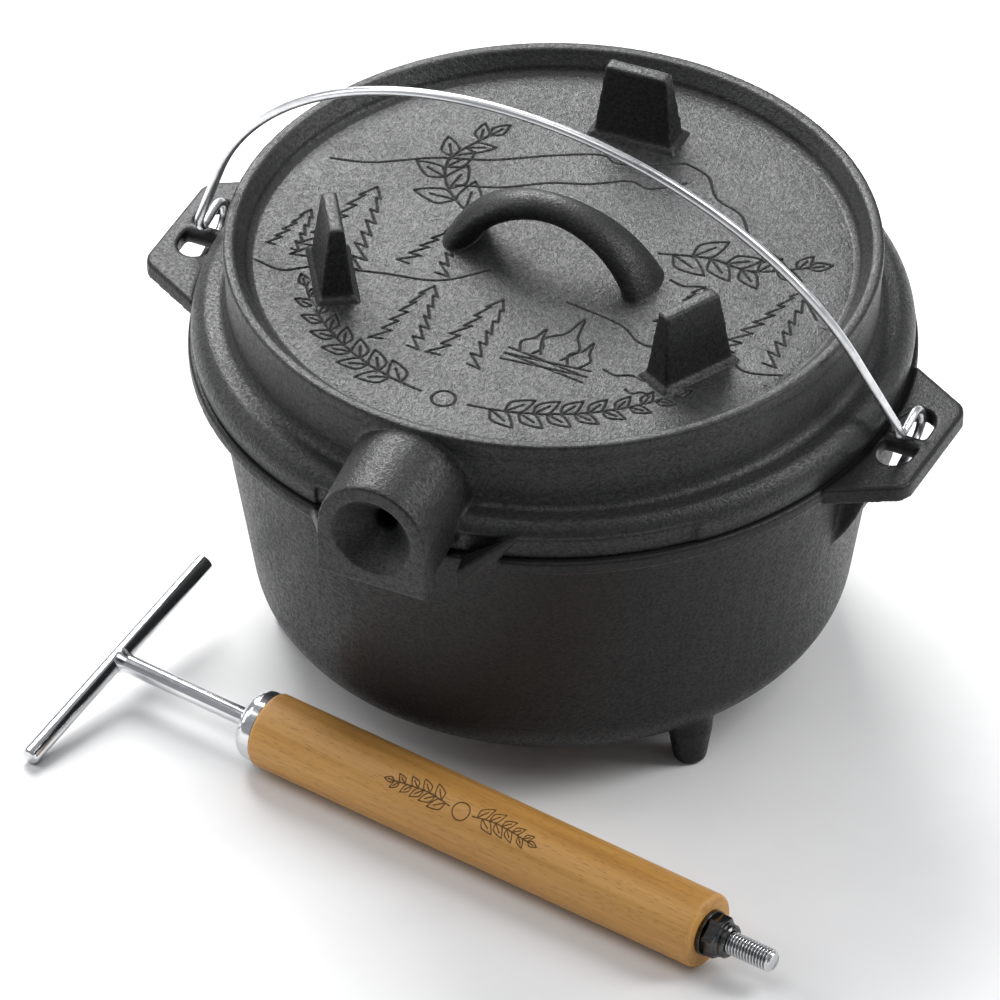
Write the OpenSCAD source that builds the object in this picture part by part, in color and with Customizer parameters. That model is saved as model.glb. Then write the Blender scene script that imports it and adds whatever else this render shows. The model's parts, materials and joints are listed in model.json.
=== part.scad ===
// Cast iron dutch oven: a footed pot, a tray lid, a wire bail and a screw-in lid lifter.
// Millimetres, +Z up. The origin lies on the pot's axis, on the surface that the feet stand on.
// The ears lie along X, and the lid's lifter socket points to -Y.

/* [Pot] */
// Height of the feet under the pot
foot_h = 16.5; // [14:0.5:24]
// Height of the pot's wall, from its base to the underside of the rim
pot_h = 126; // [110:1:140]
// Radius of the wall where it would meet the base
pot_base_r = 122; // [118:0.5:124]
// Radius of the wall under the rim
pot_top_r = 142.4; // [141:0.2:143]
// Rounding between wall and base
pot_corner_r = 27; // [20:1:32]
// Thickness of the wall
wall_t = 4; // [3.5:0.5:5.5]
// Thickness of the base
floor_t = 5; // [4.5:0.5:7]
// Radius of the rim flange
rim_r = 152; // [151.6:0.1:152.4]
// Thickness of the rim flange
rim_t = 6.5; // [6:0.5:8]
// Distance of the feet from the axis
foot_at_r = 110; // [104:1:112]
// Direction of the first foot
foot_turn = -33; // [-36:1:-27]

/* [Ears] */
// Reach of an ear from the axis
ear_reach = 176; // [174:1:180]
// Thickness of an ear
ear_t = 7.5; // [7:0.5:8]
// Half the width of an ear at its root
ear_root_half = 46; // [42:1:50]
// Half the width of an ear at its outer edge
ear_tip_half = 33; // [31:1:38]
// Radius of the round bridge between an ear's openings
bridge_r = 4.2; // [3.8:0.1:4.5]

/* [Lid] */
// Height of the lid from its seat to its lip
lid_h = 49; // [47:1:51]
// Depth of the tray below the lip
tray_depth = 9.4; // [8:0.2:11]
// Thickness of the plate
plate_t = 4.5; // [4:0.5:6]
// Radius of the plate inside its step
plate_r = 125.4; // [124:0.2:126]
// Radius of the lip
lip_r = 137.2; // [136.5:0.1:138]
// Height of the lid's feet above the plate
lid_foot_h = 34.5; // [33:0.5:38]
// Distance of the lid's feet from the axis
lid_foot_at_r = 92; // [88:1:96]
// Direction of the first lid foot
lid_foot_turn = 93; // [90:1:97]
// Radius of the loop handle's arch
loop_r = 45.6; // [42:0.2:47]
// Thickness of the loop handle's oval section
loop_t = 12.4; // [11:0.1:13]
// Width of the loop handle at its top
loop_top_w = 14; // [13:0.5:18]
// Width of the loop handle where it meets the plate
loop_root_w = 29; // [24:0.5:32]
// Height of the arch above the plate, to the middle of its bar
loop_rise = 27; // [25:0.5:29]

/* [Lifter socket] */
// Distance of the socket's front face from the axis
socket_reach = 172; // [170:1:174]
// Radius of the socket's arched front
socket_r = 24.7; // [24:0.1:25.5]
// Radius of the cone's mouth
cone_r = 18; // [17:0.5:19]
// Depth of the cone
cone_depth = 14; // [12:0.5:15]
// Thread size of the socket and of the lifter's stud
thread_d = 10; // [10:1:10]
// Depth of the threaded hole behind the cone
thread_depth = 18; // [16:1:20]

/* [Bail] */
// Diameter of the bail's wire
wire_d = 4; // [3.6:0.1:4.2]
// Radius of the bow
bow_r = 156; // [155.5:0.1:157]
// Distance of each hook from the middle
hook_x = 161; // [160.6:0.1:161.5]
// Lean of the bow towards the lifter socket, at rest
bail_lean = 15; // [12:1:18]

/* [Lid lifter] */
// Diameter of the rods
rod_d = 8; // [7:0.5:9]
// Length of the T-bar
crossbar_l = 126; // [110:1:140]
// Length of the neck between the T-bar's axis and the ferrule
neck_l = 70; // [60:1:80]
// Length of the wooden grip
grip_l = 224; // [210:1:235]
// Diameter of the wooden grip
grip_d = 32.5; // [30:0.5:36]
// Length of the thread beyond the nut
stud_l = 21; // [18:1:24]

/* [Hidden] */

iron = [0.20, 0.20, 0.21];
plated = [0.80, 0.81, 0.83];
dark_steel = [0.28, 0.28, 0.30];
beech = [0.78, 0.58, 0.36];

// Heights
rim_z0 = foot_h + pot_h;
seat_z = rim_z0 + rim_t;
lip_z = seat_z + lid_h;
plate_z = lip_z - tray_depth;
ear_z0 = rim_z0;
ear_mid_z = ear_z0 + ear_t / 2;

// Pot wall
wall_lean = atan((pot_top_r - pot_base_r) / pot_h);
cavity_corner_r = 22;

// Feet
foot_top_r = 9.4;
foot_tip_r = 7.2;
foot_tip_round = 2.6;

// Ears
ear_corner_r = 9;
opening_half_x = 8;
opening_back = 21.5;
opening_front = 18.5;
rib_t = 22;
rib_drop = 52;
lid_gap = 0.5;

// Locating horns on the rim, either side of the socket
horn_tip = [33.1, -161.2];
plain_horn_tip = [31.5, -157];
horn_rise = 8.5;
horn_top_rise = 22;

// Lid
skirt_r = 150;
shoulder_r = 11;
shoulder_cx = 139.8;
shoulder_cz = seat_z + 6.7;
lip_in_r = 132.2;
tray_foot_r = 127.8;
ring_r = 136.8;
ring_in_r = 131.5;
ring_drop = 4.7;
recess_from = -105;
recess_to = -41;
recess_depth = 1.2;
pedestal_h = 2.5;
lid_foot_base = [35, 14];
lid_foot_top = [27.5, 6.4];

// Socket
socket_z = seat_z + 16.1;
socket_bottom_z = seat_z - 9.3;
socket_root_y = 133;
socket_root_r = 27.3;
socket_root_z = seat_z + 20.2;
thread_r = thread_d / 2;

// Bail hook, in its own plane: a staple round the bridge
wire_r = wire_d / 2;
hook_leg = 3;
hook_bend_r = 5;
hook_half = 8;
hook_run = 9;
hook_tip = -6;
hook_tip_edge = 0.7;
bow_foot = hook_half + hook_bend_r;
bow_bend_r = 12;
// Angle at which the bow's arc hands over to the straight run down to the hook
bow_bend_x = hook_x - bow_bend_r;
bow_touch = acos((bow_r - bow_bend_r) / norm([bow_bend_x, bow_foot])) + atan(bow_foot / bow_bend_x);

// Lifter
rod_r = rod_d / 2;
grip_r = grip_d / 2;
ferrule_l = 9;
washer_t = 2;
nut_l = 10;
grip_x0 = neck_l + ferrule_l;
grip_x1 = grip_x0 + grip_l;
nut_x0 = grip_x1 + washer_t;
stud_x0 = nut_x0 + nut_l;
stud_edge = 1.2;
// The blank that the thread is rolled on, and the hole that lets the thread pass
shank_r = thread_r - 0.5;
grip_bore_r = thread_r + 0.3;
lifter_at = [-142, -124.4];
lifter_turn = -10.1;
// Turned about its axis until one end of the T-bar meets the floor beside the grip
lifter_roll = asin(grip_r / norm([crossbar_l / 2, rod_r])) - atan(2 * rod_r / crossbar_l) - 0.03;

function arc(cx, cy, r, a0, a1, n = 8) =
    [for (i = [0:n]) let (a = a0 + (a1 - a0) * i / n) [cx + r * cos(a), cy + r * sin(a)]];

// Radius of the pot's outer wall at a height
function wall_r(z) = pot_base_r + (z - foot_h) * tan(wall_lean);

// Centre radius of a rounding that touches a flat at height z and the wall line through (r, z)
function corner_cx(r, round_r) = r - round_r * (1 - sin(wall_lean)) / cos(wall_lean);

// Angle at which a line from point p touches a circle on its upper side
function touch_angle(p, c, r) =
    atan2(p[1] - c[1], p[0] - c[0]) - acos(r / norm(p - c));

module turned(points) rotate_extrude($fn = 120) polygon(points);

module both_sides() {
    children();
    mirror([1, 0, 0]) children();
}

module rod_between(a, b, r) {
    d = b - a;
    translate(a) rotate([0, acos(d[2] / norm(d)), atan2(d[1], d[0])])
        cylinder(h = norm(d), r = r, $fn = 32);
}

module pot_body() {
    fillet = 3;
    edge = 1.1;
    turned(concat(
        [[0, foot_h]],
        arc(corner_cx(pot_base_r, pot_corner_r), foot_h + pot_corner_r, pot_corner_r, -90, -wall_lean, 14),
        arc(wall_r(rim_z0 - fillet) + fillet, rim_z0 - fillet, fillet, 180, 90, 5),
        arc(rim_r - edge, rim_z0 + edge, edge, -90, 0, 4),
        arc(rim_r - edge, seat_z - edge, edge, 0, 90, 4),
        [[0, seat_z]]));
}

module pot_cavity() {
    floor_z = foot_h + floor_t;
    skin = wall_t / cos(wall_lean);
    lead = 1;
    turned(concat(
        [[0, floor_z]],
        arc(corner_cx(wall_r(floor_z) - skin, cavity_corner_r), floor_z + cavity_corner_r,
            cavity_corner_r, -90, -wall_lean, 12),
        [[wall_r(seat_z - lead) - skin, seat_z - lead],
         [wall_r(seat_z) - skin + lead, seat_z],
         [wall_r(seat_z) - skin + lead, seat_z + 20],
         [0, seat_z + 20]]));
}

module pot_foot() {
    bury = 14;
    turned(concat(
        [[0, 0]],
        arc(foot_tip_r - foot_tip_round, foot_tip_round, foot_tip_round, -90, -4, 5),
        [[foot_top_r, foot_h], [foot_top_r + 0.8, foot_h + bury], [0, foot_h + bury]]));
}

module ear_plate() {
    corner = [ear_reach - ear_corner_r, ear_tip_half - ear_corner_r];
    root = [rim_r - 6, ear_root_half];
    side = touch_angle(root, corner, ear_corner_r);
    inner = rim_r - 16;
    translate([0, 0, ear_z0]) linear_extrude(ear_t) polygon(concat(
        [[inner, -ear_root_half], [root[0], -root[1]]],
        arc(corner[0], -corner[1], ear_corner_r, -side, 0, 6),
        arc(corner[0], corner[1], ear_corner_r, 0, side, 6),
        [root, [inner, ear_root_half]]));
}

// One opening with arched ends, cut right through the ear. The bridge is put back across it.
module ear_opening() {
    shoulder = 8;
    translate([hook_x, 0, ear_z0 - 1]) linear_extrude(ear_t + 2) polygon(concat(
        [for (a = [0:15:180]) [opening_half_x * cos(a), shoulder + (opening_back - shoulder) * sin(a)]],
        [for (a = [180:15:360]) [opening_half_x * cos(a), -shoulder + (opening_front - shoulder) * sin(a)]]));
}

module ear_rib() {
    side = [[-19, 1], [-12, 0.8], [-8, 0.65], [-4.5, 0.48], [-1, 0.25], [0.6, 0.1], [0.8, 0]];
    translate([0, rib_t / 2, 0]) rotate([90, 0, 0]) linear_extrude(rib_t)
        polygon(concat([[rim_r - 22, rim_z0 - rib_drop]],
            [for (p = side) [rim_r + p[0], rim_z0 - p[1] * rib_drop]],
            [[rim_r + 0.8, ear_z0 + 2], [rim_r - 22, ear_z0 + 2]]));
}

module bridge() {
    translate([hook_x - opening_half_x - 1.5, 0, ear_mid_z]) rotate([0, 90, 0])
        cylinder(h = 2 * opening_half_x + 3, r = bridge_r, $fn = 48);
}

// A tab on the rim that keeps the lid's socket in place. One of the pair climbs along the lid's skirt.
module horn(climbs) {
    base = [[30.4, -147.5], climbs ? horn_tip : plain_horn_tip, [39.2, -146], [46, -138], [32, -140]];
    hull() {
        translate([0, 0, rim_z0]) linear_extrude(horn_rise) polygon(base);
        if (climbs) translate([53.5, -143.6, rim_z0 + horn_top_rise]) cube([0.8, 0.8, 0.8]);
    }
}

module pot() color(iron) difference() {
    union() {
        pot_body();
        both_sides() {
            difference() {
                ear_plate();
                ear_opening();
            }
            bridge();
            ear_rib();
        }
        horn(true);
        mirror([1, 0, 0]) horn(false);
        for (i = [0:2]) rotate([0, 0, foot_turn + 120 * i]) translate([foot_at_r, 0, 0]) pot_foot();
    }
    // Room for the lid's skirt above the seat
    translate([0, 0, seat_z]) cylinder(h = 60, r = rim_r + lid_gap, $fn = 120);
    pot_cavity();
}

module lid_body() {
    lip_edge = 0.9;
    turned(concat(
        // Outside, from the seat up to the lip
        [[skirt_r - 0.6, seat_z], [skirt_r, seat_z + 0.6]],
        arc(shoulder_cx, shoulder_cz, shoulder_r, 0, 65, 8),
        arc(lip_r + 3.6, shoulder_cz + 15.2, 5, 245, 180, 5),
        [[lip_r - 0.6, lip_z - 8], [lip_r, lip_z - 5]],
        arc(lip_r - lip_edge, lip_z - lip_edge, lip_edge, 0, 90, 4),
        // Inside the tray
        arc(lip_in_r + lip_edge, lip_z - lip_edge, lip_edge, 90, 180, 4),
        arc(tray_foot_r + 1.6, plate_z + 2.8, 1.6, 165, 260, 4),
        arc(plate_r + 0.9, plate_z + 0.5, 0.6, 60, 130, 3),
        [[plate_r, plate_z], [0, plate_z]],
        // Underneath
        [[0, plate_z - plate_t]],
        arc(plate_r - 6, plate_z - plate_t - 6, 6, 90, 10, 6),
        [[ring_in_r - 1, shoulder_cz + 4], [ring_in_r, seat_z - ring_drop + 0.8],
         [ring_in_r + 0.8, seat_z - ring_drop], [ring_r - 0.8, seat_z - ring_drop],
         [ring_r, seat_z - ring_drop + 0.8]],
        arc(ring_r + 2.5, shoulder_cz + 2, 2.5, 180, 90, 4),
        arc(skirt_r - 7.5, shoulder_cz + 2, 2.5, 90, 0, 4),
        [[skirt_r - 5, seat_z]]));
}

module lid_foot() {
    bury = 1;
    slope = atan((lid_foot_base[0] - lid_foot_top[0]) / 2 / (lid_foot_h - pedestal_h));
    translate([0, 0, plate_z - bury]) {
        hull() {
            linear_extrude(0.5) square([lid_foot_base[1] + 5.5, lid_foot_base[0] + 6], center = true);
            translate([0, 0, pedestal_h + bury - 0.5]) linear_extrude(0.5)
                square([lid_foot_base[1] + 2.5, lid_foot_base[0] + 3], center = true);
        }
        hull() {
            translate([0, 0, pedestal_h]) linear_extrude(0.5)
                square([lid_foot_base[1], lid_foot_base[0]], center = true);
            translate([0, 0, lid_foot_h + bury - 0.5]) linear_extrude(0.5)
                square([lid_foot_top[1], lid_foot_top[0]], center = true);
        }
    }
}

// Oval sections swept along an arch, widening from the top down to both roots
module loop_handle() {
    centre_z = plate_z + loop_rise - loop_r;
    spread = acos((plate_z - 2 - centre_z) / loop_r);
    runs = 28;
    sides = 20;
    points = [for (i = [0:runs], k = [0:sides - 1])
        let (a = spread * (2 * i / runs - 1), b = 360 * k / sides,
             flare = pow(abs(a) / spread, 1.5), r = loop_r + loop_t / 2 * cos(b))
        [r * sin(a), (loop_top_w + (loop_root_w - loop_top_w) * flare) / 2 * sin(b), centre_z + r * cos(a)]];
    skin = [for (i = [0:runs - 1], k = [0:sides - 1], half = [0, 1])
        let (near = i * sides, far = near + sides, m = (k + 1) % sides)
        half == 0 ? [near + k, near + m, far + m] : [near + k, far + m, far + k]];
    caps = [[for (k = [sides - 1:-1:0]) k], [for (k = [0:sides - 1]) runs * sides + k]];
    polyhedron(points, concat(skin, caps));
}

// Outline of the socket in its front plane: an arch on a straight-sided foot
module socket_slice(r, z, bottom) {
    translate([0, z]) circle(r = r, $fn = 36);
    translate([-r, bottom]) square([2 * r, z - bottom]);
}

module socket_body() {
    slice_t = 0.5;
    difference() {
        hull() {
            translate([0, -socket_reach + slice_t, 0]) rotate([90, 0, 0]) linear_extrude(slice_t)
                socket_slice(socket_r, socket_z, socket_bottom_z);
            translate([0, -socket_root_y, 0]) rotate([90, 0, 0]) linear_extrude(slice_t)
                socket_slice(socket_root_r, socket_root_z, socket_bottom_z);
        }
        // Clear of the pot's rim and horns
        rotate([90, 0, 90]) translate([0, 0, -40]) linear_extrude(80)
            polygon([[-socket_reach + 8, socket_bottom_z - 1], [-socket_reach + 8, seat_z - 1],
                     [-149, seat_z + 5.5], [-120, seat_z + 5.5], [-120, socket_bottom_z - 1]]);
    }
}

module lid() color(iron) difference() {
    union() {
        difference() {
            lid_body();
            // Shallow recess round the front of the skirt
            rotate([0, 0, recess_from]) rotate_extrude(angle = recess_to - recess_from, $fn = 120)
                polygon([[skirt_r - recess_depth, seat_z - 1], [skirt_r + 3, seat_z - 1],
                         [skirt_r + 3, shoulder_cz + 7], [skirt_r - recess_depth, shoulder_cz + 3]]);
        }
        socket_body();
        loop_handle();
        for (i = [0:2]) rotate([0, 0, lid_foot_turn + 120 * i]) translate([lid_foot_at_r, 0, 0]) lid_foot();
    }
    translate([0, -socket_reach, socket_z]) rotate([-90, 0, 0]) {
        translate([0, 0, -0.01]) cylinder(h = cone_depth + 0.01, r1 = cone_r, r2 = thread_r, $fn = 64);
        cylinder(h = cone_depth + thread_depth, r = thread_r, $fn = 48);
    }
}

// Part of a turn of wire in the hook's plane. Angles run from +Y towards +Z.
module hook_bend(cy, cz, r, a0, a1) {
    translate([hook_x, cy, cz]) rotate([90, 0, 90]) rotate([0, 0, a0])
        rotate_extrude(angle = a1 - a0, $fn = 48) translate([r, 0]) circle(r = wire_r, $fn = 24);
}

// Part of a turn of wire in the bow's plane. Angles run from +X towards +Z.
module bow_bend(cx, cz, r, a0, a1) {
    translate([cx, -hook_leg, cz]) rotate([90, 0, 0]) rotate([0, 0, a0])
        rotate_extrude(angle = a1 - a0, $fn = 120) translate([r, 0]) circle(r = wire_r, $fn = 24);
}

module bail_half() {
    ray = [cos(bow_touch), 0, sin(bow_touch)];
    upper = [0, -hook_leg, 0] + bow_r * ray;
    lower = [bow_bend_x, -hook_leg, bow_foot] + bow_bend_r * ray;
    slack = 0.1 * (upper - lower) / norm(upper - lower);
    rod_between(lower + slack, upper - slack, wire_r);
    // A hair thicker than the wire, so that they close the joints of the straight run
    for (p = [lower, upper]) translate(p) sphere(r = wire_r + 0.05, $fn = 24);
    bow_bend(bow_bend_x, bow_foot, bow_bend_r, 0, bow_touch);
    hook_bend(hook_bend_r - hook_leg, bow_foot, hook_bend_r, 180, 270);
    rod_between([hook_x, hook_bend_r - hook_leg, hook_half], [hook_x, hook_run, hook_half], wire_r);
    hook_bend(hook_run, 0, hook_half, -90, 90);
    rod_between([hook_x, hook_run, -hook_half], [hook_x, hook_tip, -hook_half], wire_r);
    translate([hook_x, hook_tip, -hook_half]) rotate([90, 0, 0])
        cylinder(h = hook_tip_edge, r1 = wire_r, r2 = wire_r - hook_tip_edge, $fn = 24);
}

module bail() color(plated) translate([0, 0, ear_mid_z]) rotate([bail_lean, 0, 0]) {
    bow_bend(0, 0, bow_r, bow_touch, 180 - bow_touch);
    both_sides() bail_half();
}

// Places the lifter's parts, which are drawn along +X from the middle of the T-bar
module lifter_place() translate([lifter_at[0], lifter_at[1], grip_r]) rotate([0, 0, lifter_turn])
    rotate([lifter_roll, 0, 0]) children();

module along_x(x) translate([x, 0, 0]) rotate([0, 90, 0]) children();

module lifter_crossbar() color(plated) lifter_place() {
    edge = 0.8;
    rotate([90, 0, 0]) translate([0, 0, -crossbar_l / 2]) turned([
        [0, 0], [rod_r - edge, 0], [rod_r, edge], [rod_r, crossbar_l - edge],
        [rod_r - edge, crossbar_l], [0, crossbar_l]]);
}

module lifter_rod() color(plated) lifter_place() difference() {
    union() {
        along_x(0) cylinder(h = grip_x0 + 6, r = rod_r, $fn = 48);
        along_x(grip_x0 + 6) cylinder(h = stud_x0 - grip_x0 - 6, r = shank_r, $fn = 48);
        along_x(stud_x0) cylinder(h = stud_l - stud_edge, r = thread_r, $fn = 48);
        along_x(stud_x0 + stud_l - stud_edge)
            cylinder(h = stud_edge, r1 = thread_r, r2 = thread_r - stud_edge, $fn = 48);
        // Weld bead at the T-bar
        along_x(rod_r - 1) cylinder(h = 3, r1 = rod_r + 1.6, r2 = rod_r, $fn = 48);
    }
    rotate([90, 0, 0]) cylinder(h = 40, r = rod_r, center = true, $fn = 48);
    translate([-20, -20, -20]) cube([20, 40, 40]);
}

module lifter_ferrule() color(plated) lifter_place() along_x(neck_l) difference() {
    turned(concat([[0, 0], [rod_r + 3, 0]],
        arc(grip_r - 6.4, 5.6, 5.6, -80, 0, 8),
        [[grip_r - 0.8, ferrule_l], [0, ferrule_l]]));
    translate([0, 0, -1]) cylinder(h = ferrule_l + 2, r = rod_r, $fn = 48);
}

module lifter_grip() color(beech) lifter_place() along_x(grip_x0) difference() {
    round_in = 1.2;
    round_out = 1.8;
    turned(concat([[0, 0]],
        arc(grip_r - round_in, round_in, round_in, -90, 0, 4),
        arc(grip_r - round_out, grip_l - round_out, round_out, 0, 90, 6),
        [[0, grip_l]]));
    translate([0, 0, -1]) cylinder(h = grip_l + 2, r = grip_bore_r, $fn = 48);
}

module lifter_washer() color(dark_steel) lifter_place() along_x(grip_x1) difference() {
    cylinder(h = washer_t, r = 10, $fn = 48);
    translate([0, 0, -1]) cylinder(h = washer_t + 2, r = grip_bore_r, $fn = 48);
}

module lifter_nut() color(dark_steel) lifter_place() along_x(nut_x0) difference() {
    hex_r = 9.4;
    hex_l = 6;
    union() {
        intersection() {
            cylinder(h = hex_l, r = hex_r, $fn = 6);
            turned([[0, 0], [hex_r, 0], [hex_r, hex_l - 1], [hex_r - 1.6, hex_l], [0, hex_l]]);
        }
        // Locking collar, two rings with a groove between them
        turned([[0, hex_l - 1], [7.6, hex_l - 1], [7.6, hex_l + 1.2], [6.9, hex_l + 1.6],
            [6.9, hex_l + 2], [7.4, hex_l + 2.4], [7.4, nut_l - 0.9], [6.5, nut_l], [0, nut_l]]);
    }
    translate([0, 0, -1]) cylinder(h = nut_l + 2, r = shank_r, $fn = 48);
}

pot();
lid();
bail();
lifter_crossbar();
lifter_rod();
lifter_ferrule();
lifter_grip();
lifter_washer();
lifter_nut();
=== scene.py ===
"""Looks of the cast iron dutch oven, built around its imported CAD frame. Metres throughout."""

import json
import math
import random

import bmesh
import bpy
from mathutils import Matrix, Vector
from mathutils.kdtree import KDTree


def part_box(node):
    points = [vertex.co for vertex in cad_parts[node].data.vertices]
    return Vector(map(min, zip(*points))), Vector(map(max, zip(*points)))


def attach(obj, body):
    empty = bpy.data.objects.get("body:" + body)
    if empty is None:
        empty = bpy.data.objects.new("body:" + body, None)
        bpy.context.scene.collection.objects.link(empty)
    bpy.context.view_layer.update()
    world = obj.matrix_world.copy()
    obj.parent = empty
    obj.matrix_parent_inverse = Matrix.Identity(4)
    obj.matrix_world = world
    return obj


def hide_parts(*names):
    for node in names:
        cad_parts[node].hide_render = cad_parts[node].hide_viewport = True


MM = 0.001
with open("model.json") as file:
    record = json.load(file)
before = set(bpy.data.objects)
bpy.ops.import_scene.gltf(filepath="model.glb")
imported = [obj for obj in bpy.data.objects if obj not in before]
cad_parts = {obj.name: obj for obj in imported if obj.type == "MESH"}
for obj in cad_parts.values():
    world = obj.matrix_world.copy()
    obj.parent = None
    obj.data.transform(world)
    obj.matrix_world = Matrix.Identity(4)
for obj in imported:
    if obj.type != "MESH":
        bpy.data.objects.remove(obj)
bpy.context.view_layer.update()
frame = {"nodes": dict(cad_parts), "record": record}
nodes = frame["nodes"]
rng = random.Random(7)
voxel = 0.95 * MM

# ---------------------------------------------------------------- places read from the frame
mounts = {m["name"]: m for m in frame["record"]["mounts"]}
lid_lo, lid_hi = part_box("lid")
grip_lo, grip_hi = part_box("lifter_grip")
stud_axis = Vector(mounts["stud_thread"]["axis"]).normalized()
stud_mid = Vector(mounts["stud_thread"]["pos_m"])


def level_faces(node, low, high):
    """Height of the widest level surface of a CAD node that faces up between two heights."""
    area = {}
    for f in nodes[node].data.polygons:
        if f.normal.z > 0.999 and low < f.center.z < high:
            area[round(f.center.z, 4)] = area.get(round(f.center.z, 4), 0) + f.area
    return max(area, key=area.get)


plate_z = level_faces("lid", lid_lo.z + 0.03, lid_hi.z - 0.02)


# ---------------------------------------------------------------- shader helpers
class Shader:
    """A material with short ways to add and join its nodes."""

    def __init__(self, name):
        self.mat = bpy.data.materials.new(name)
        self.mat.use_nodes = True
        self.tree = self.mat.node_tree
        self.bsdf = self.tree.nodes["Principled BSDF"]
        self.where = self.node("ShaderNodeTexCoord").outputs["Object"]

    def node(self, kind, **props):
        n = self.tree.nodes.new(kind)
        for key, value in props.items():
            setattr(n, key, value)
        return n

    def put(self, socket, value):
        """Link a node's output to the socket, or set a plain value on it."""
        if isinstance(value, bpy.types.NodeSocket):
            self.tree.links.new(value, socket)
        else:
            socket.default_value = value

    def scaled(self, factors, turn=(0, 0, 0), vector=None):
        """Coordinates turned and then stretched, from the object's own unless others are given."""
        m = self.node("ShaderNodeMapping")
        self.put(m.inputs["Vector"], self.where if vector is None else vector)
        self.put(m.inputs["Scale"], factors)
        self.put(m.inputs["Rotation"], turn)
        return m.outputs["Vector"]

    def noise(self, vector, scale, octaves=4.0, rough=0.5, twist=0.0):
        n = self.node("ShaderNodeTexNoise")
        self.put(n.inputs["Vector"], vector)
        self.put(n.inputs["Scale"], scale)
        self.put(n.inputs["Detail"], octaves)
        self.put(n.inputs["Roughness"], rough)
        self.put(n.inputs["Distortion"], twist)
        return n.outputs["Fac"]

    def math(self, kind, a, b=0.5, c=0.5, clamp=False):
        n = self.node("ShaderNodeMath", operation=kind, use_clamp=clamp)
        for socket, value in zip(n.inputs, (a, b, c)):
            self.put(socket, value)
        return n.outputs[0]

    def spread(self, value, low, high, to_low, to_high):
        """A value moved from one range to another and kept inside it."""
        n = self.node("ShaderNodeMapRange")
        for socket, v in zip(n.inputs, (value, low, high, to_low, to_high)):
            self.put(socket, v)
        return n.outputs[0]

    def mix(self, fac, a, b):
        n = self.node("ShaderNodeMix", data_type="RGBA")
        self.put(n.inputs["Factor"], fac)
        self.put(n.inputs[6], a)
        self.put(n.inputs[7], b)
        return n.outputs[2]

    def ramp(self, fac, stops):
        n = self.node("ShaderNodeValToRGB")
        self.put(n.inputs["Fac"], fac)
        while len(n.color_ramp.elements) < len(stops):
            n.color_ramp.elements.new(0.5)
        for element, (place, colour) in zip(n.color_ramp.elements, stops):
            element.position = place
            element.color = colour
        return n.outputs["Color"]

    def bump(self, height, distance, strength=1.0, under=None):
        n = self.node("ShaderNodeBump")
        self.put(n.inputs["Height"], height)
        self.put(n.inputs["Distance"], distance)
        self.put(n.inputs["Strength"], strength)
        if under is not None:
            self.put(n.inputs["Normal"], under)
        return n.outputs["Normal"]

    def crevice(self, reach):
        """One on open faces, falling towards zero in corners and gaps within a distance."""
        n = self.node("ShaderNodeAmbientOcclusion", samples=8)
        self.put(n.inputs["Distance"], reach)
        return n.outputs["AO"]

    def soft_edges(self, radius):
        n = self.node("ShaderNodeBevel", samples=6)
        self.put(n.inputs["Radius"], radius)
        return n.outputs["Normal"]

    def set(self, **sockets):
        """Put values or links on the shader's sockets, with underscores for spaces in their names."""
        for key, value in sockets.items():
            self.put(self.bsdf.inputs[key.replace("_", " ")], value)


def grey(v, tint=(1.0, 1.0, 1.0)):
    return (v * tint[0], v * tint[1], v * tint[2], 1.0)


def iron_material(name, low_tone, high_tone, grain, sheen):
    """Seasoned cast iron: sand texture, slow tone changes, dark pits, and painted shade in inner corners.

    The tones are the darkest and palest grains, grain is the texture's height in metres.
    """
    s = Shader(name)
    sand = s.noise(s.where, 1500.0, 2.0, 0.6)
    grit = s.noise(s.where, 620.0, 3.0, 0.55)
    cloud = s.noise(s.where, 22.0, 4.0, 0.55, 0.4)
    speck = s.node("ShaderNodeTexVoronoi", feature="F1")
    s.put(speck.inputs["Vector"], s.where)
    s.put(speck.inputs["Scale"], 420.0)
    pits = s.spread(speck.outputs["Distance"], 0.05, 0.24, 1.0, 0.0)
    tone = s.math("ADD", s.math("MULTIPLY", sand, 0.42), s.math("MULTIPLY", grit, 0.42))
    tone = s.math("ADD", tone, s.math("MULTIPLY", cloud, 0.16))
    dark, light = grey(low_tone, (1.0, 1.02, 1.05)), grey(high_tone, (1.0, 1.01, 1.03))
    colour = s.ramp(tone, [(0.42, dark), (0.58, light)])
    colour = s.mix(s.math("MULTIPLY", pits, 0.5), colour, grey(0.006))
    # Painted shade: the colour darkens towards near black in inner corners and gaps within 7 mm.
    shade = s.spread(s.crevice(0.007), 0.15, 0.9, 0.7, 0.0)
    colour = s.mix(shade, colour, grey(0.005))
    rough = s.math("ADD", s.spread(tone, 0.42, 0.58, 0.54, 0.27), s.math("MULTIPLY", cloud, 0.08))
    height = s.math("ADD", s.math("MULTIPLY", sand, 0.55), s.math("MULTIPLY", grit, 0.9))
    height = s.math("SUBTRACT", height, s.math("MULTIPLY", pits, 0.30))
    s.set(Base_Color=colour, Roughness=rough, Metallic=0.0, Normal=s.bump(height, grain, 0.9))
    s.put(s.bsdf.inputs["Specular IOR Level"], sheen)
    return s


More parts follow.
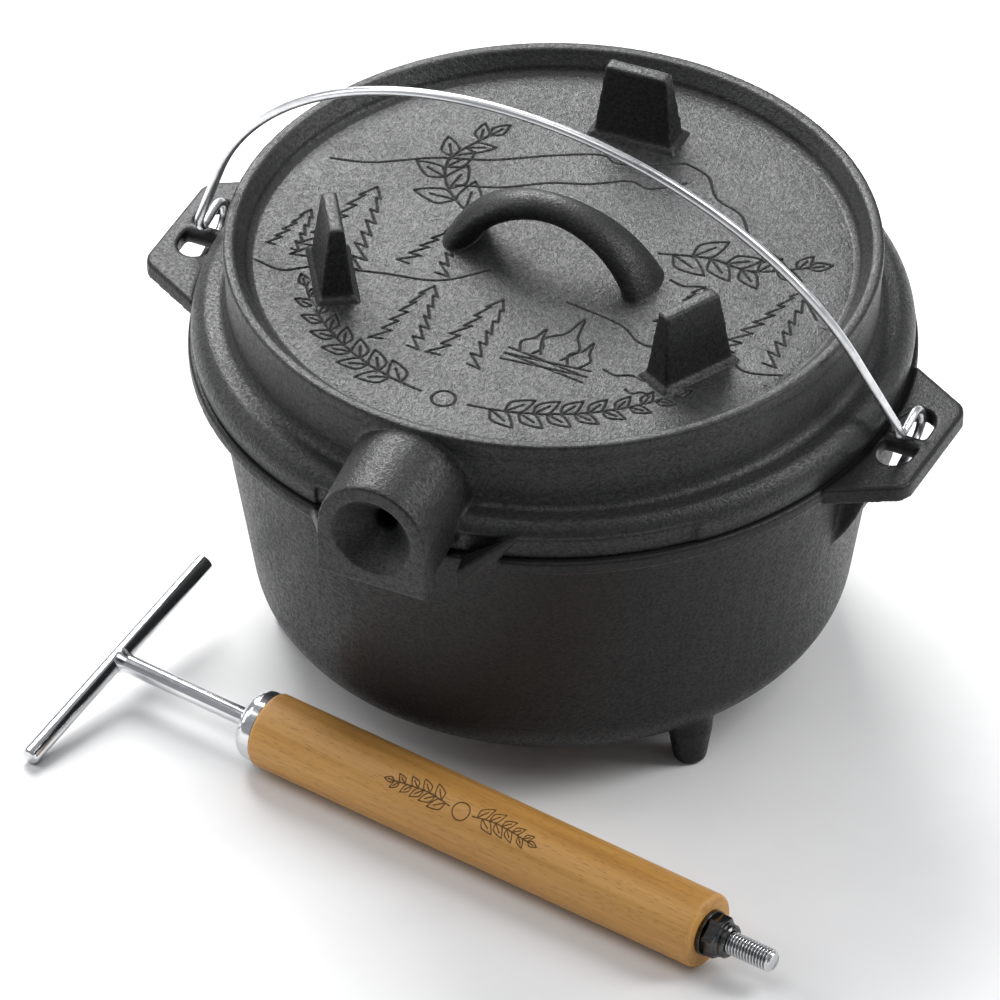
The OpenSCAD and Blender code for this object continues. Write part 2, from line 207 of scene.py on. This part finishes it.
def carved_iron_material():
    """Grainy iron with painted shade in the lid's line art, where the mesh carries the attribute cut."""
    s = iron_material("carved_iron", low_tone=0.005, high_tone=0.050, grain=0.00060, sheen=0.52)
    cut = s.node("ShaderNodeAttribute", attribute_name="cut").outputs["Fac"]
    colour = s.bsdf.inputs["Base Color"].links[0].from_socket
    # Painted shade: the grooves of the line art are darkened towards near black, and they are also made
    # rougher.
    painted_groove_shade = s.spread(cut, 0.15, 0.9, 0.0, 0.93)
    rough = s.bsdf.inputs["Roughness"].links[0].from_socket
    s.set(Base_Color=s.mix(painted_groove_shade, colour, grey(0.003)),
          Roughness=s.math("ADD", rough, s.math("MULTIPLY", painted_groove_shade, 0.45), clamp=True))
    return s


def plated_material(name, gloss):
    """Bright plated steel with a faint haze, and painted shade between threads and in joints."""
    s = Shader(name)
    haze = s.noise(s.where, 260.0, 3.0, 0.6)
    smear = s.noise(s.scaled((12.0, 60.0, 60.0)), 3.0, 4.0, 0.6, 0.5)
    bright, dull = grey(0.74, (1.0, 1.0, 1.01)), grey(0.60, (0.98, 1.0, 1.03))
    colour = s.mix(s.spread(smear, 0.35, 0.7, 0.0, 1.0), bright, dull)
    # Painted shade: the colour darkens between threads and in joints within 1.5 mm.
    shade = s.spread(s.crevice(0.0015), 0.35, 0.95, 0.85, 0.0)
    colour = s.mix(shade, colour, grey(0.05))
    rough = s.math("ADD", s.spread(haze, 0.3, 0.7, gloss, gloss + 0.08), s.math("MULTIPLY", smear, 0.05))
    s.set(Base_Color=colour, Metallic=1.0, Roughness=rough, Normal=s.bump(haze, 0.00003, 0.5))
    return s.mat


def fastener_material():
    """Blackened steel of the nut and the washer, with painted shade in their corners and gaps."""
    s = Shader("dark_fastener")
    grain = s.noise(s.scaled((160.0, 900.0, 900.0), (0, 0, turn_z)), 1.0, 4.0, 0.6)
    colour = s.mix(s.spread(grain, 0.3, 0.7, 0.0, 1.0), grey(0.13), grey(0.07, (1.0, 0.99, 0.97)))
    # Painted shade: the colour darkens in corners and gaps within 3 mm.
    shade = s.spread(s.crevice(0.003), 0.2, 0.9, 0.7, 0.0)
    colour = s.mix(shade, colour, grey(0.02))
    s.set(Base_Color=colour, Metallic=1.0, Roughness=s.spread(grain, 0.3, 0.7, 0.12, 0.20))
    s.put(s.bsdf.inputs["Normal"], s.bump(grain, 0.00004, 0.5, s.soft_edges(0.0005)))
    return s.mat


def beech_material():
    """Oiled beech: fine straight grain along the grip, short darker flecks, scorched ornament."""
    s = Shader("oiled_beech")
    along = s.scaled((1.0, 1.0, 1.0), (0, 0, -turn_z))
    broad = s.noise(s.scaled((5.0, 60.0, 60.0), vector=along), 1.0, 3.0, 0.5, 0.6)
    lines = s.noise(s.scaled((10.0, 330.0, 330.0), vector=along), 1.0, 4.0, 0.6, 0.2)
    fine = s.noise(s.scaled((34.0, 1300.0, 1300.0), vector=along), 1.0, 2.0, 0.6)
    flecks = s.node("ShaderNodeTexVoronoi", feature="F1")
    s.put(flecks.inputs["Vector"], s.scaled((150.0, 1250.0, 1250.0), vector=along))
    s.put(flecks.inputs["Scale"], 1.0)
    fleck = s.spread(flecks.outputs["Distance"], 0.12, 0.30, 1.0, 0.0)
    body = s.math("ADD", s.math("MULTIPLY", broad, 0.42), s.math("MULTIPLY", lines, 0.40))
    body = s.math("ADD", body, s.math("MULTIPLY", fine, 0.18))
    colour = s.ramp(body, [(0.30, (0.345, 0.158, 0.036, 1)), (0.44, (0.490, 0.246, 0.062, 1)),
                           (0.55, (0.575, 0.302, 0.084, 1)), (0.70, (0.680, 0.385, 0.120, 1))])
    colour = s.mix(s.math("MULTIPLY", fleck, 0.5), colour, (0.190, 0.080, 0.022, 1))
    burn = s.node("ShaderNodeAttribute", attribute_name="burn").outputs["Fac"]
    scorch = s.noise(s.where, 700.0, 3.0, 0.6)
    depth = s.math("MULTIPLY", burn, s.spread(scorch, 0.3, 0.7, 0.78, 1.0))
    colour = s.mix(depth, colour, (0.040, 0.014, 0.005, 1))
    rough = s.math("ADD", s.spread(lines, 0.3, 0.7, 0.38, 0.52), s.math("MULTIPLY", burn, 0.3))
    height = s.math("SUBTRACT", s.math("MULTIPLY", lines, 0.8), s.math("MULTIPLY", fleck, 0.5))
    s.set(Base_Color=colour, Roughness=rough, Normal=s.bump(height, 0.00009, 0.5))
    s.put(s.bsdf.inputs["Specular IOR Level"], 0.4)
    return s.mat


# ---------------------------------------------------------------- mesh helpers
def add_mesh(name, verts, faces, smooth_angle=None):
    mesh = bpy.data.meshes.new(name)
    mesh.from_pydata(verts, [], faces)
    mesh.validate()
    mesh.update()
    obj = bpy.data.objects.new(name, mesh)
    bpy.context.scene.collection.objects.link(obj)
    if smooth_angle is not None:
        mesh.shade_smooth()
        mesh.set_sharp_from_angle(angle=math.radians(smooth_angle))
    return obj


def baked(obj):
    """The object's mesh with its modifiers applied, as a new mesh in place of the old one."""
    dg = bpy.context.evaluated_depsgraph_get()
    mesh = bpy.data.meshes.new_from_object(obj.evaluated_get(dg))
    obj.modifiers.clear()
    obj.data = mesh
    return obj


def cast_copy(node, name, rounds, most_faces):
    """A casting's own surface: a copy of the CAD node with its edges and inner corners rounded over."""
    obj = bpy.data.objects.new(name, nodes[node].data.copy())
    bpy.context.scene.collection.objects.link(obj)
    obj.data.materials.clear()
    weld = obj.modifiers.new("weld", "WELD")
    weld.merge_threshold = 0.00001
    remesh = obj.modifiers.new("remesh", "REMESH")
    remesh.mode = "VOXEL"
    remesh.voxel_size = voxel
    soften = obj.modifiers.new("soften", "SMOOTH")
    soften.factor = 0.5
    soften.iterations = rounds
    baked(obj)
    faces = len(obj.data.polygons) * 2
    if faces > most_faces:
        fewer = obj.modifiers.new("fewer", "DECIMATE")
        fewer.ratio = most_faces / faces
        baked(obj)
    obj.data.shade_smooth()
    return obj


# ---------------------------------------------------------------- line art as strokes of points
def curve_through(points, step=0.5):
    """Points about a step apart on a smooth curve through the given points (Catmull-Rom)."""
    out = []
    p = [points[0]] + list(points) + [points[-1]]
    for i in range(1, len(p) - 2):
        length = math.dist(p[i], p[i + 1])
        n = max(2, int(length / step))
        for k in range(n):
            t = k / n
            out.append(tuple(
                0.5 * (2 * p[i][a] + (p[i + 1][a] - p[i - 1][a]) * t
                       + (2 * p[i - 1][a] - 5 * p[i][a] + 4 * p[i + 1][a] - p[i + 2][a]) * t * t
                       + (3 * p[i][a] - p[i - 1][a] - 3 * p[i + 1][a] + p[i + 2][a]) * t ** 3)
                for a in (0, 1)))
    out.append(tuple(points[-1]))
    return out


def straight_through(points, step=0.5):
    """Points about a step apart on the straight lines between the given points."""
    out = []
    for a, b in zip(points, points[1:]):
        n = max(1, int(math.dist(a, b) / step))
        out += [(a[0] + (b[0] - a[0]) * k / n, a[1] + (b[1] - a[1]) * k / n) for k in range(n)]
    return out + [tuple(points[-1])]


def placed(points, at, turn=0.0):
    """The points turned by an angle in degrees and moved to a place."""
    c, s = math.cos(math.radians(turn)), math.sin(math.radians(turn))
    return [(at[0] + x * c - y * s, at[1] + x * s + y * c) for x, y in points]


def fir(at, height, half_width, teeth, lean):
    """The jagged outline of a fir, one zigzag line down each side."""
    strokes = []
    for side in (-1, 1):
        line = [(0.0, height)]
        for i in range(teeth):
            t = (i + 1) / teeth
            low = height * (1 - t)
            reach = half_width * (0.18 + 0.82 * t) * rng.uniform(0.88, 1.08)
            line.append((side * reach, low + height * rng.uniform(0.00, 0.02)))
            inset = side * reach * rng.uniform(0.46, 0.56)
            line.append((inset, low + height * rng.uniform(0.012, 0.03)))
        strokes.append(straight_through(placed(line, at, lean)))
    return strokes


def leaf(at, size, turn):
    """A pointed leaf, two arched lines from its stalk to its tip and a short middle vein."""
    broad = 0.26
    upper = [(0, 0), (size * 0.34, size * broad), (size * 0.72, size * broad * 0.62), (size, 0)]
    lower = [(x, -y) for x, y in upper]
    vein = [(0, 0), (size * 0.62, 0)]
    return [curve_through(placed(upper, at, turn)), curve_through(placed(lower, at, turn)),
            straight_through(placed(vein, at, turn))]


def branch(points, size, leaves, spread):
    """A stem through the points with leaves on both sides, growing smaller to the tip."""
    stem = curve_through(points)
    strokes = [stem]
    for i in range(leaves):
        k = int((len(stem) - 3) * (0.12 + 0.80 * i / (leaves - 1)))
        a, b = stem[k], stem[k + 2]
        way = math.degrees(math.atan2(b[1] - a[1], b[0] - a[0]))
        side = 1 if i % 2 else -1
        strokes += leaf(a, size * (1.0 - 0.42 * i / (leaves - 1)), way + side * spread)
    return strokes + leaf(stem[-1], size * 0.55, way)


def circle(radius, degrees):
    return [(radius * math.cos(math.radians(a)), radius * math.sin(math.radians(a))) for a in degrees]


def camp_fire(at, size):
    """Two pairs of crossed logs with three tongues of flame over them."""
    strokes = []
    tongue = [(-0.16, 0.10), (-0.27, 0.42), (-0.05, 0.66), (0.05, 1.05),
              (0.14, 0.66), (0.28, 0.40), (0.15, 0.10)]
    for x, tall in ((0.0, 1.0), (0.36, 0.60), (-0.36, 0.60)):
        flame = [((x + a * tall) * size, (0.10 + b * tall) * size) for a, b in tongue]
        strokes.append(curve_through(placed(flame, at)))
    for side in (-1, 1):
        for low in (-0.12, 0.01):
            log = [(-side * 0.62 * size, low * size), (side * 0.62 * size, (low + 0.14) * size)]
            strokes.append(straight_through(placed(log, at)))
    return strokes


def camp_scene():
    """Ridges, firs, a shore, a camp fire and leafy branches, in millimetres on the lid's plate."""
    strokes = [
        curve_through([(-113, 21), (-96, 26), (-74, 40), (-52, 49), (-30, 63), (-12, 72),
                       (-2, 70), (22, 82)]),
        curve_through([(22, 82), (34, 78), (44, 66), (58, 60), (70, 46), (88, 38), (116, 10)]),
        curve_through([(-58, 27), (-40, 34), (-24, 45), (-8, 52), (6, 61), (16, 60), (28, 70)]),
        curve_through([(-112, -54), (-98, -56), (-86, -48), (-60, -40), (-36, -34), (-20, -18)]),
        curve_through([(18, -24), (44, -28), (60, -36), (88, -28), (104, -34), (118, -30)]),
    ]
    for x, y, w in ((-14, 34, 20), (-4, 28, 13), (60, 8, 20), (68, 1, 13), (60, -58, 18), (70, -66, 11)):
        ripple = [(-w / 2, 0), (-w / 6, -1.4), (w / 6, 1.2), (w / 2, 0)]
        strokes.append(curve_through(placed(ripple, (x, y))))
    strokes += fir((-84, -44), 56, 17, 7, 3)
    strokes += fir((-46, -30), 33, 12, 5, -3)
    strokes += fir((-104, -42), 28, 8, 5, 2)
    strokes += fir((-34, -80), 42, 12, 6, 3)
    strokes += fir((-8, -80), 46, 12, 6, -2)
    strokes += fir((100, -26), 52, 14, 7, -4)
    strokes += fir((66, -20), 30, 10, 5, 2)
    strokes += camp_fire((28, -66), 30)
    strokes += branch([(-42, 10), (-60, 24), (-68, 42), (-60, 64)], 20, 8, 42.0)
    strokes += branch([(38, 22), (58, 28), (78, 28), (98, 40)], 19, 8, 42.0)
    garland_r, ring_r = 104, 5
    for way in (range(-96, -147, -6), range(-84, -33, 6)):
        strokes += branch(circle(garland_r, way), 15, 13, 40.0)
    ring = [(x, y - garland_r) for x, y in circle(ring_r, range(0, 361, 15))]
    strokes.append(curve_through(ring))
    return strokes


def stroke_tree(strokes):
    """A search tree over the points of all strokes, which gives the distance to the nearest one."""
    tree = KDTree(sum(len(s) for s in strokes))
    i = 0
    for s in strokes:
        for x, y in s:
            tree.insert((x, y, 0), i)
            i += 1
    tree.balance()
    return tree


def fine_cells(inside, tree, lo, hi, coarse, fine, reach):
    """Squares over a region, halved near the strokes until they are fine enough to carve."""
    todo, done = [], []
    nx, ny = math.ceil((hi[0] - lo[0]) / coarse), math.ceil((hi[1] - lo[1]) / coarse)
    for i in range(nx):
        for j in range(ny):
            todo.append((lo[0] + i * coarse, lo[1] + j * coarse, coarse))
    while todo:
        x, y, size = todo.pop()
        mid = (x + size / 2, y + size / 2)
        if not inside(mid, size):
            continue
        near = tree.find((mid[0], mid[1], 0))[2] < reach + size * 0.75
        if near and size > fine * 1.01:
            h = size / 2
            todo += [(x, y, h), (x + h, y, h), (x, y + h, h), (x + h, y + h, h)]
        else:
            done.append((x, y, size))
    return done


def groove(distance, half_width, depth):
    """Depth of a groove with sloping sides at a distance from its middle."""
    t = min(max((half_width - distance) / (half_width * 0.62), 0.0), 1.0)
    return depth * t * t * (3 - 2 * t)


def burr(distance, half_width, height):
    """Height of the soft raised edge beside a groove."""
    t = max(0.0, 1.0 - abs(distance - half_width * 1.25) / (half_width * 0.55))
    return height * t * t * (3 - 2 * t)


# ---------------------------------------------------------------- the lid's carved plate
def carved_plate():
    """The lid's plate as a thin skin with line art cut into it, fading into the casting at its edge."""
    radius, skin, fade = 125.0, 0.75, 3.0
    depth, half_width, burr_height = 0.70, 0.70, 0.16
    tree = stroke_tree(camp_scene())
    fine = 0.35
    corner = radius + 3.0
    cells = fine_cells(lambda p, s: math.hypot(*p) < radius + s, tree, (-corner, -corner), (corner, corner),
                       5.6, fine, half_width * 1.6 + 0.1)
    index, verts, faces, cuts = {}, [], [], []

    def vertex(x, y):
        key = (round(x * 1000), round(y * 1000))
        if key not in index:
            far = math.hypot(x, y)
            if far > radius:
                x, y = x * radius / far, y * radius / far
            near = tree.find((x, y, 0))[2]
            down = groove(near, half_width, depth)
            rise = burr(near, half_width, burr_height)
            edge = min(max((radius - far) / fade, 0.0), 1.0)
            index[key] = len(verts)
            verts.append((x * MM, y * MM, plate_z + (skin * edge - down * edge + rise * edge) * MM))
            cuts.append(down / depth)
        return index[key]

    for x, y, size in cells:
        faces.append((vertex(x, y), vertex(x + size, y), vertex(x + size, y + size), vertex(x, y + size)))
    obj = add_mesh("lid_relief", verts, faces)
    obj.data.shade_smooth()
    cut = obj.data.attributes.new("cut", "FLOAT", "POINT")
    cut.data.foreach_set("value", cuts)
    return obj


# ---------------------------------------------------------------- the lifter's grip and stud
turn_z = math.atan2(stud_axis.y, stud_axis.x)
grip_r = (grip_hi.z - grip_lo.z) / 2
side = Vector((-stud_axis.y, stud_axis.x, 0.0))
up = Vector((0.0, 0.0, 1.0))


def along_axis(node):
    """Stretch of a lifter's node along the stud's axis, measured from the stud's middle."""
    reach = [(v.co - stud_mid).dot(stud_axis) for v in nodes[node].data.vertices]
    return min(reach), max(reach)


def tool_point(x, radius, angle):
    """A point on the lifter, at a distance along its axis from the stud's middle."""
    return stud_mid + stud_axis * x + (side * math.cos(angle) + up * math.sin(angle)) * radius


def carved_grip():
    """The turned grip with a scorched ornament cut into it, as squares over the unrolled surface."""
    start, end = along_axis("lifter_grip")
    length = (end - start) / MM
    r = grip_r / MM
    around = 2 * math.pi * r
    strokes = []
    middle = (length * 0.47, around * 0.35)
    for way in (-1, 1):
        x, y = middle
        strokes += branch([(x + way * 6, y), (x + way * 18, y - 1.5), (x + way * 34, y)], 8.5, 9, 42.0)
    strokes.append(curve_through(placed(circle(4.0, range(0, 361, 15)), middle)))
    tree = stroke_tree(strokes)
    columns = 112
    coarse = around / columns
    near_arris, arris, bore_r = 1.2, 1.8, 5.3
    near_end = [(0.0, r - near_arris), (0.4, r - 0.45), (near_arris, r)]
    far_end = [(length - arris, r), (length - arris * 0.5, r - arris * 0.14),
               (length - arris * 0.14, r - arris * 0.5), (length, r - arris)]
    body_lo, body_hi = near_arris, length - arris
    rows = round((body_hi - body_lo) / coarse)
    step = (body_hi - body_lo) / rows
    half_width, depth = 0.45, 0.30
    index, verts, faces, burn = {}, [], [], []

    def vertex(x, s, radius=None):
        s = s % around
        key = (round(x * 1000), round(s * 1000) % round(around * 1000), radius is None)
        if key not in index:
            down = 0.0
            if radius is None:
                down = groove(tree.find((x, s, 0))[2], half_width, depth)
                radius = r - down
            index[key] = len(verts)
            verts.append(tool_point(start + x * MM, radius * MM, s / r))
            burn.append(down / depth)
        return index[key]

    def cell(x, s, w, h, level):
        near = tree.find((x + w / 2, s + h / 2, 0))[2] < half_width + 0.2 + w * 0.75
        if near and level < (3):
            for i in (0, 1):
                for j in (0, 1):
                    cell(x + i * w / 2, s + j * h / 2, w / 2, h / 2, level + 1)
        else:
            faces.append((vertex(x, s + h), vertex(x + w, s + h), vertex(x + w, s), vertex(x, s)))

    for i in range(rows):
        for j in range(columns):
            cell(body_lo + i * step, j * coarse, step, coarse, 0)
    for profile in (near_end, far_end):
        for (x0, r0), (x1, r1) in zip(profile, profile[1:]):
            for j in range(columns):
                s0, s1 = j * coarse, (j + 1) * coarse
                v = [vertex(x0, s0, None if r0 == r else r0), vertex(x1, s0, None if r1 == r else r1),
                     vertex(x1, s1, None if r1 == r else r1), vertex(x0, s1, None if r0 == r else r0)]
                faces.append(tuple(reversed(v)))
    for x, outer, way in ((0.0, r - near_arris, -1), (length, r - arris, 1)):
        for j in range(columns):
            s0, s1 = j * coarse, (j + 1) * coarse
            a, b = vertex(x, s0, outer), vertex(x, s1, outer)
            c = len(verts)
            verts.extend([tool_point(start + x * MM, bore_r * MM, t / r) for t in (s1, s0)])
            burn.extend([0.0, 0.0])
            faces.append((a, b, c, c + 1)[::way])
    obj = add_mesh("grip_turned", verts, faces, 40)
    mark = obj.data.attributes.new("burn", "FLOAT", "POINT")
    mark.data.foreach_set("value", burn)
    return obj


def threaded_rod():
    """The lifter's rod with a real thread beyond the nut and a weld bead at the T-bar."""
    rod_start, rod_end = along_axis("lifter_rod")
    nut_start = along_axis("lifter_nut")[0]
    neck_end = along_axis("lifter_ferrule")[1]
    crest, root, pitch = 5.0 * MM, 4.16 * MM, 1.5 * MM
    lead, drop = 1.3 * MM, 1.25 * MM
    around = 48
    neck_r = 4.0 * MM
    rings = [(rod_start + 0.8 * MM, neck_r * 1.38), (rod_start + 2.6 * MM, neck_r * 1.36),
             (rod_start + 4.6 * MM, neck_r * 1.12), (rod_start + 6.2 * MM, neck_r)]
    rings += [(neck_end - 0.001, neck_r), (neck_end + 0.002, neck_r), (neck_end + 0.003, neck_r * 1.1)]
    rings += [(nut_start, root)]
    verts, faces = [], []
    for x, radius in rings:
        verts += [tool_point(x, radius, 2 * math.pi * k / around) for k in range(around)]
    thread_start = nut_start + 0.001
    steps = int((rod_end - thread_start) / (pitch / 14))
    for i in range(steps + 1):
        x = thread_start + (rod_end - thread_start) * i / steps
        lead_out = min(max((x - (rod_end - lead)) / lead, 0.0), 1.0)
        cap = crest - lead_out * drop
        for k in range(around):
            phase = (x / pitch - k / around) % 1.0
            wave = abs(phase * 2 - 1)
            ridge = min(max((wave - 0.12) / 0.70, 0.0), 1.0)
            verts.append(tool_point(x, min(root + (crest - root) * ridge, cap), 2 * math.pi * k / around))
    total = len(verts) // around
    for i in range(total - 1):
        for k in range(around):
            a, b = i * around + k, i * around + (k + 1) % around
            faces.append((a, b, b + around, a + around))
    faces.append(tuple(range(around - 1, -1, -1)))
    faces.append(tuple(range((total - 1) * around, total * around)))
    obj = add_mesh("rod_threaded", verts, faces, 50)
    tidy = bmesh.new()
    tidy.from_mesh(obj.data)
    bmesh.ops.recalc_face_normals(tidy, faces=tidy.faces)
    tidy.to_mesh(obj.data)
    tidy.free()
    return obj


# ---------------------------------------------------------------- build the pieces
pot_iron = iron_material("smooth_iron", low_tone=0.006, high_tone=0.016, grain=0.00018, sheen=0.25)
lid_iron = iron_material("grainy_iron", low_tone=0.003, high_tone=0.026, grain=0.00034, sheen=0.38)
relief_iron = carved_iron_material()
plating = plated_material("bright_plating", 0.09)
satin = plated_material("satin_wire", 0.24)

pot = cast_copy("pot", "pot_cast", 3, 190000)
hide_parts("pot")
lid = cast_copy("lid", "lid_cast", 3, 190000)
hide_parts("lid")
relief = carved_plate()
grip = carved_grip()
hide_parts("lifter_grip")
rod = threaded_rod()
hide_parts("lifter_rod")

beech = beech_material()
for obj, body, material, slot in ((pot, "pot", pot_iron.mat, "iron"),
                                  (lid, "lid", lid_iron.mat, "iron"),
                                  (relief, "lid", relief_iron.mat, "iron"),
                                  (grip, "lifter", beech, "beech"),
                                  (rod, "lifter", plating, "plated")):
    obj.data.materials.clear()
    obj.data.materials.append(material)
    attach(obj, body)

fastener = fastener_material()
for name, material, slot in (("bail", satin, "plated"),
                             ("lifter_crossbar", plating, "plated"),
                             ("lifter_ferrule", plating, "plated"),
                             ("lifter_washer", fastener, "dark_steel"),
                             ("lifter_nut", fastener, "dark_steel")):
    nodes[name].data.materials.clear()
    nodes[name].data.materials.append(material)
    nodes[name].data.shade_smooth()
    nodes[name].data.set_sharp_from_angle(angle=math.radians(35))

# ---------------------------------------------------------------- floor, light and camera
bpy.ops.mesh.primitive_plane_add(size=60.0, location=(0, 0, 0))
floor = bpy.context.object
floor.name = "studio_floor"
paper = Shader("studio_paper")
tooth = paper.noise(paper.where, 40.0, 3.0, 0.5)
paper.set(Base_Color=paper.mix(tooth, grey(0.82), grey(0.86)), Roughness=1.0)
paper.put(paper.bsdf.inputs["Specular IOR Level"], 0.0)
floor.data.materials.append(paper.mat)


def outward(azimuth, elevation):
    """Unit vector from the object towards a place given by its azimuth and elevation."""
    a, e = math.radians(azimuth), math.radians(elevation)
    return Vector((math.sin(a) * math.cos(e), -math.cos(a) * math.cos(e), math.sin(e)))


def soft_light(name, aim, azimuth, elevation, distance, size, power, size_y=None):
    """A softbox that shines at a point and isn't seen by the camera."""
    data = bpy.data.lights.new(name, "AREA")
    data.shape = "RECTANGLE"
    data.size = size
    data.size_y = size_y or size
    data.energy = power
    obj = bpy.data.objects.new(name, data)
    bpy.context.scene.collection.objects.link(obj)
    out = outward(azimuth, elevation)
    obj.location = aim + out * distance
    obj.rotation_mode = "QUATERNION"
    obj.rotation_quaternion = (-out).to_track_quat("-Z", "Y")
    obj.visible_camera = False


view_az, view_el = 25.8, 38.66
centre = Vector((0, 0, 0.12))
soft_light("top_back_box", centre, view_az + 196, 42, 1.6, 0.95, 43.0)
soft_light("left_strip", centre, view_az - 98, 30, 1.3, 0.45, 5.0, size_y=1.0)
soft_light("right_strip", centre, view_az + 84, 40, 1.3, 0.45, 11.0, size_y=1.0)
soft_light("front_fill", centre, view_az - 30, 68, 2.2, 1.2, 8.5)

# An even pale room with a dark patch behind the camera, which bright metal shows as dark lines.
world = bpy.data.worlds.new("studio")
bpy.context.scene.world = world
world.use_nodes = True
sky, links = world.node_tree.nodes, world.node_tree.links
toward = sky.new("ShaderNodeVectorMath")
toward.operation = "DOT_PRODUCT"
links.new(sky.new("ShaderNodeTexCoord").outputs["Generated"], toward.inputs[0])
toward.inputs[1].default_value = outward(view_az, 48.0)
dim = sky.new("ShaderNodeMapRange")
dim.interpolation_type = "SMOOTHSTEP"
links.new(toward.outputs["Value"], dim.inputs["Value"])
for key, value in (("From Min", 0.72), ("From Max", 0.93), ("To Min", 0.38), ("To Max", 0.05)):
    dim.inputs[key].default_value = value
links.new(dim.outputs["Result"], sky["Background"].inputs["Strength"])
sky["Background"].inputs["Color"].default_value = (0.93, 0.95, 1.0, 1.0)

camera = bpy.data.objects.new("camera", bpy.data.cameras.new("camera"))
bpy.context.scene.collection.objects.link(camera)
bpy.context.scene.camera = camera
back = outward(view_az, view_el)
right = outward(view_az + 90.0, 0.0)
above = back.cross(right)
seen_width, distance = 0.41606, 8.0
ear_top, shift_left, shift_down = level_faces("pot", 0.1, 0.16), 0.02213, 0.06353
target = Vector((0, 0, ear_top - 0.0065)) - right * shift_left - above * shift_down
camera.location = target + back * distance
camera.rotation_mode = "QUATERNION"
camera.rotation_quaternion = (-back).to_track_quat("-Z", "Y")
camera.data.sensor_width = 36.0
camera.data.lens = 36.0 * distance / seen_width
camera.data.clip_end = 60.0

scene = bpy.context.scene
scene.view_settings.view_transform = "Standard"
scene.view_settings.look = "None"
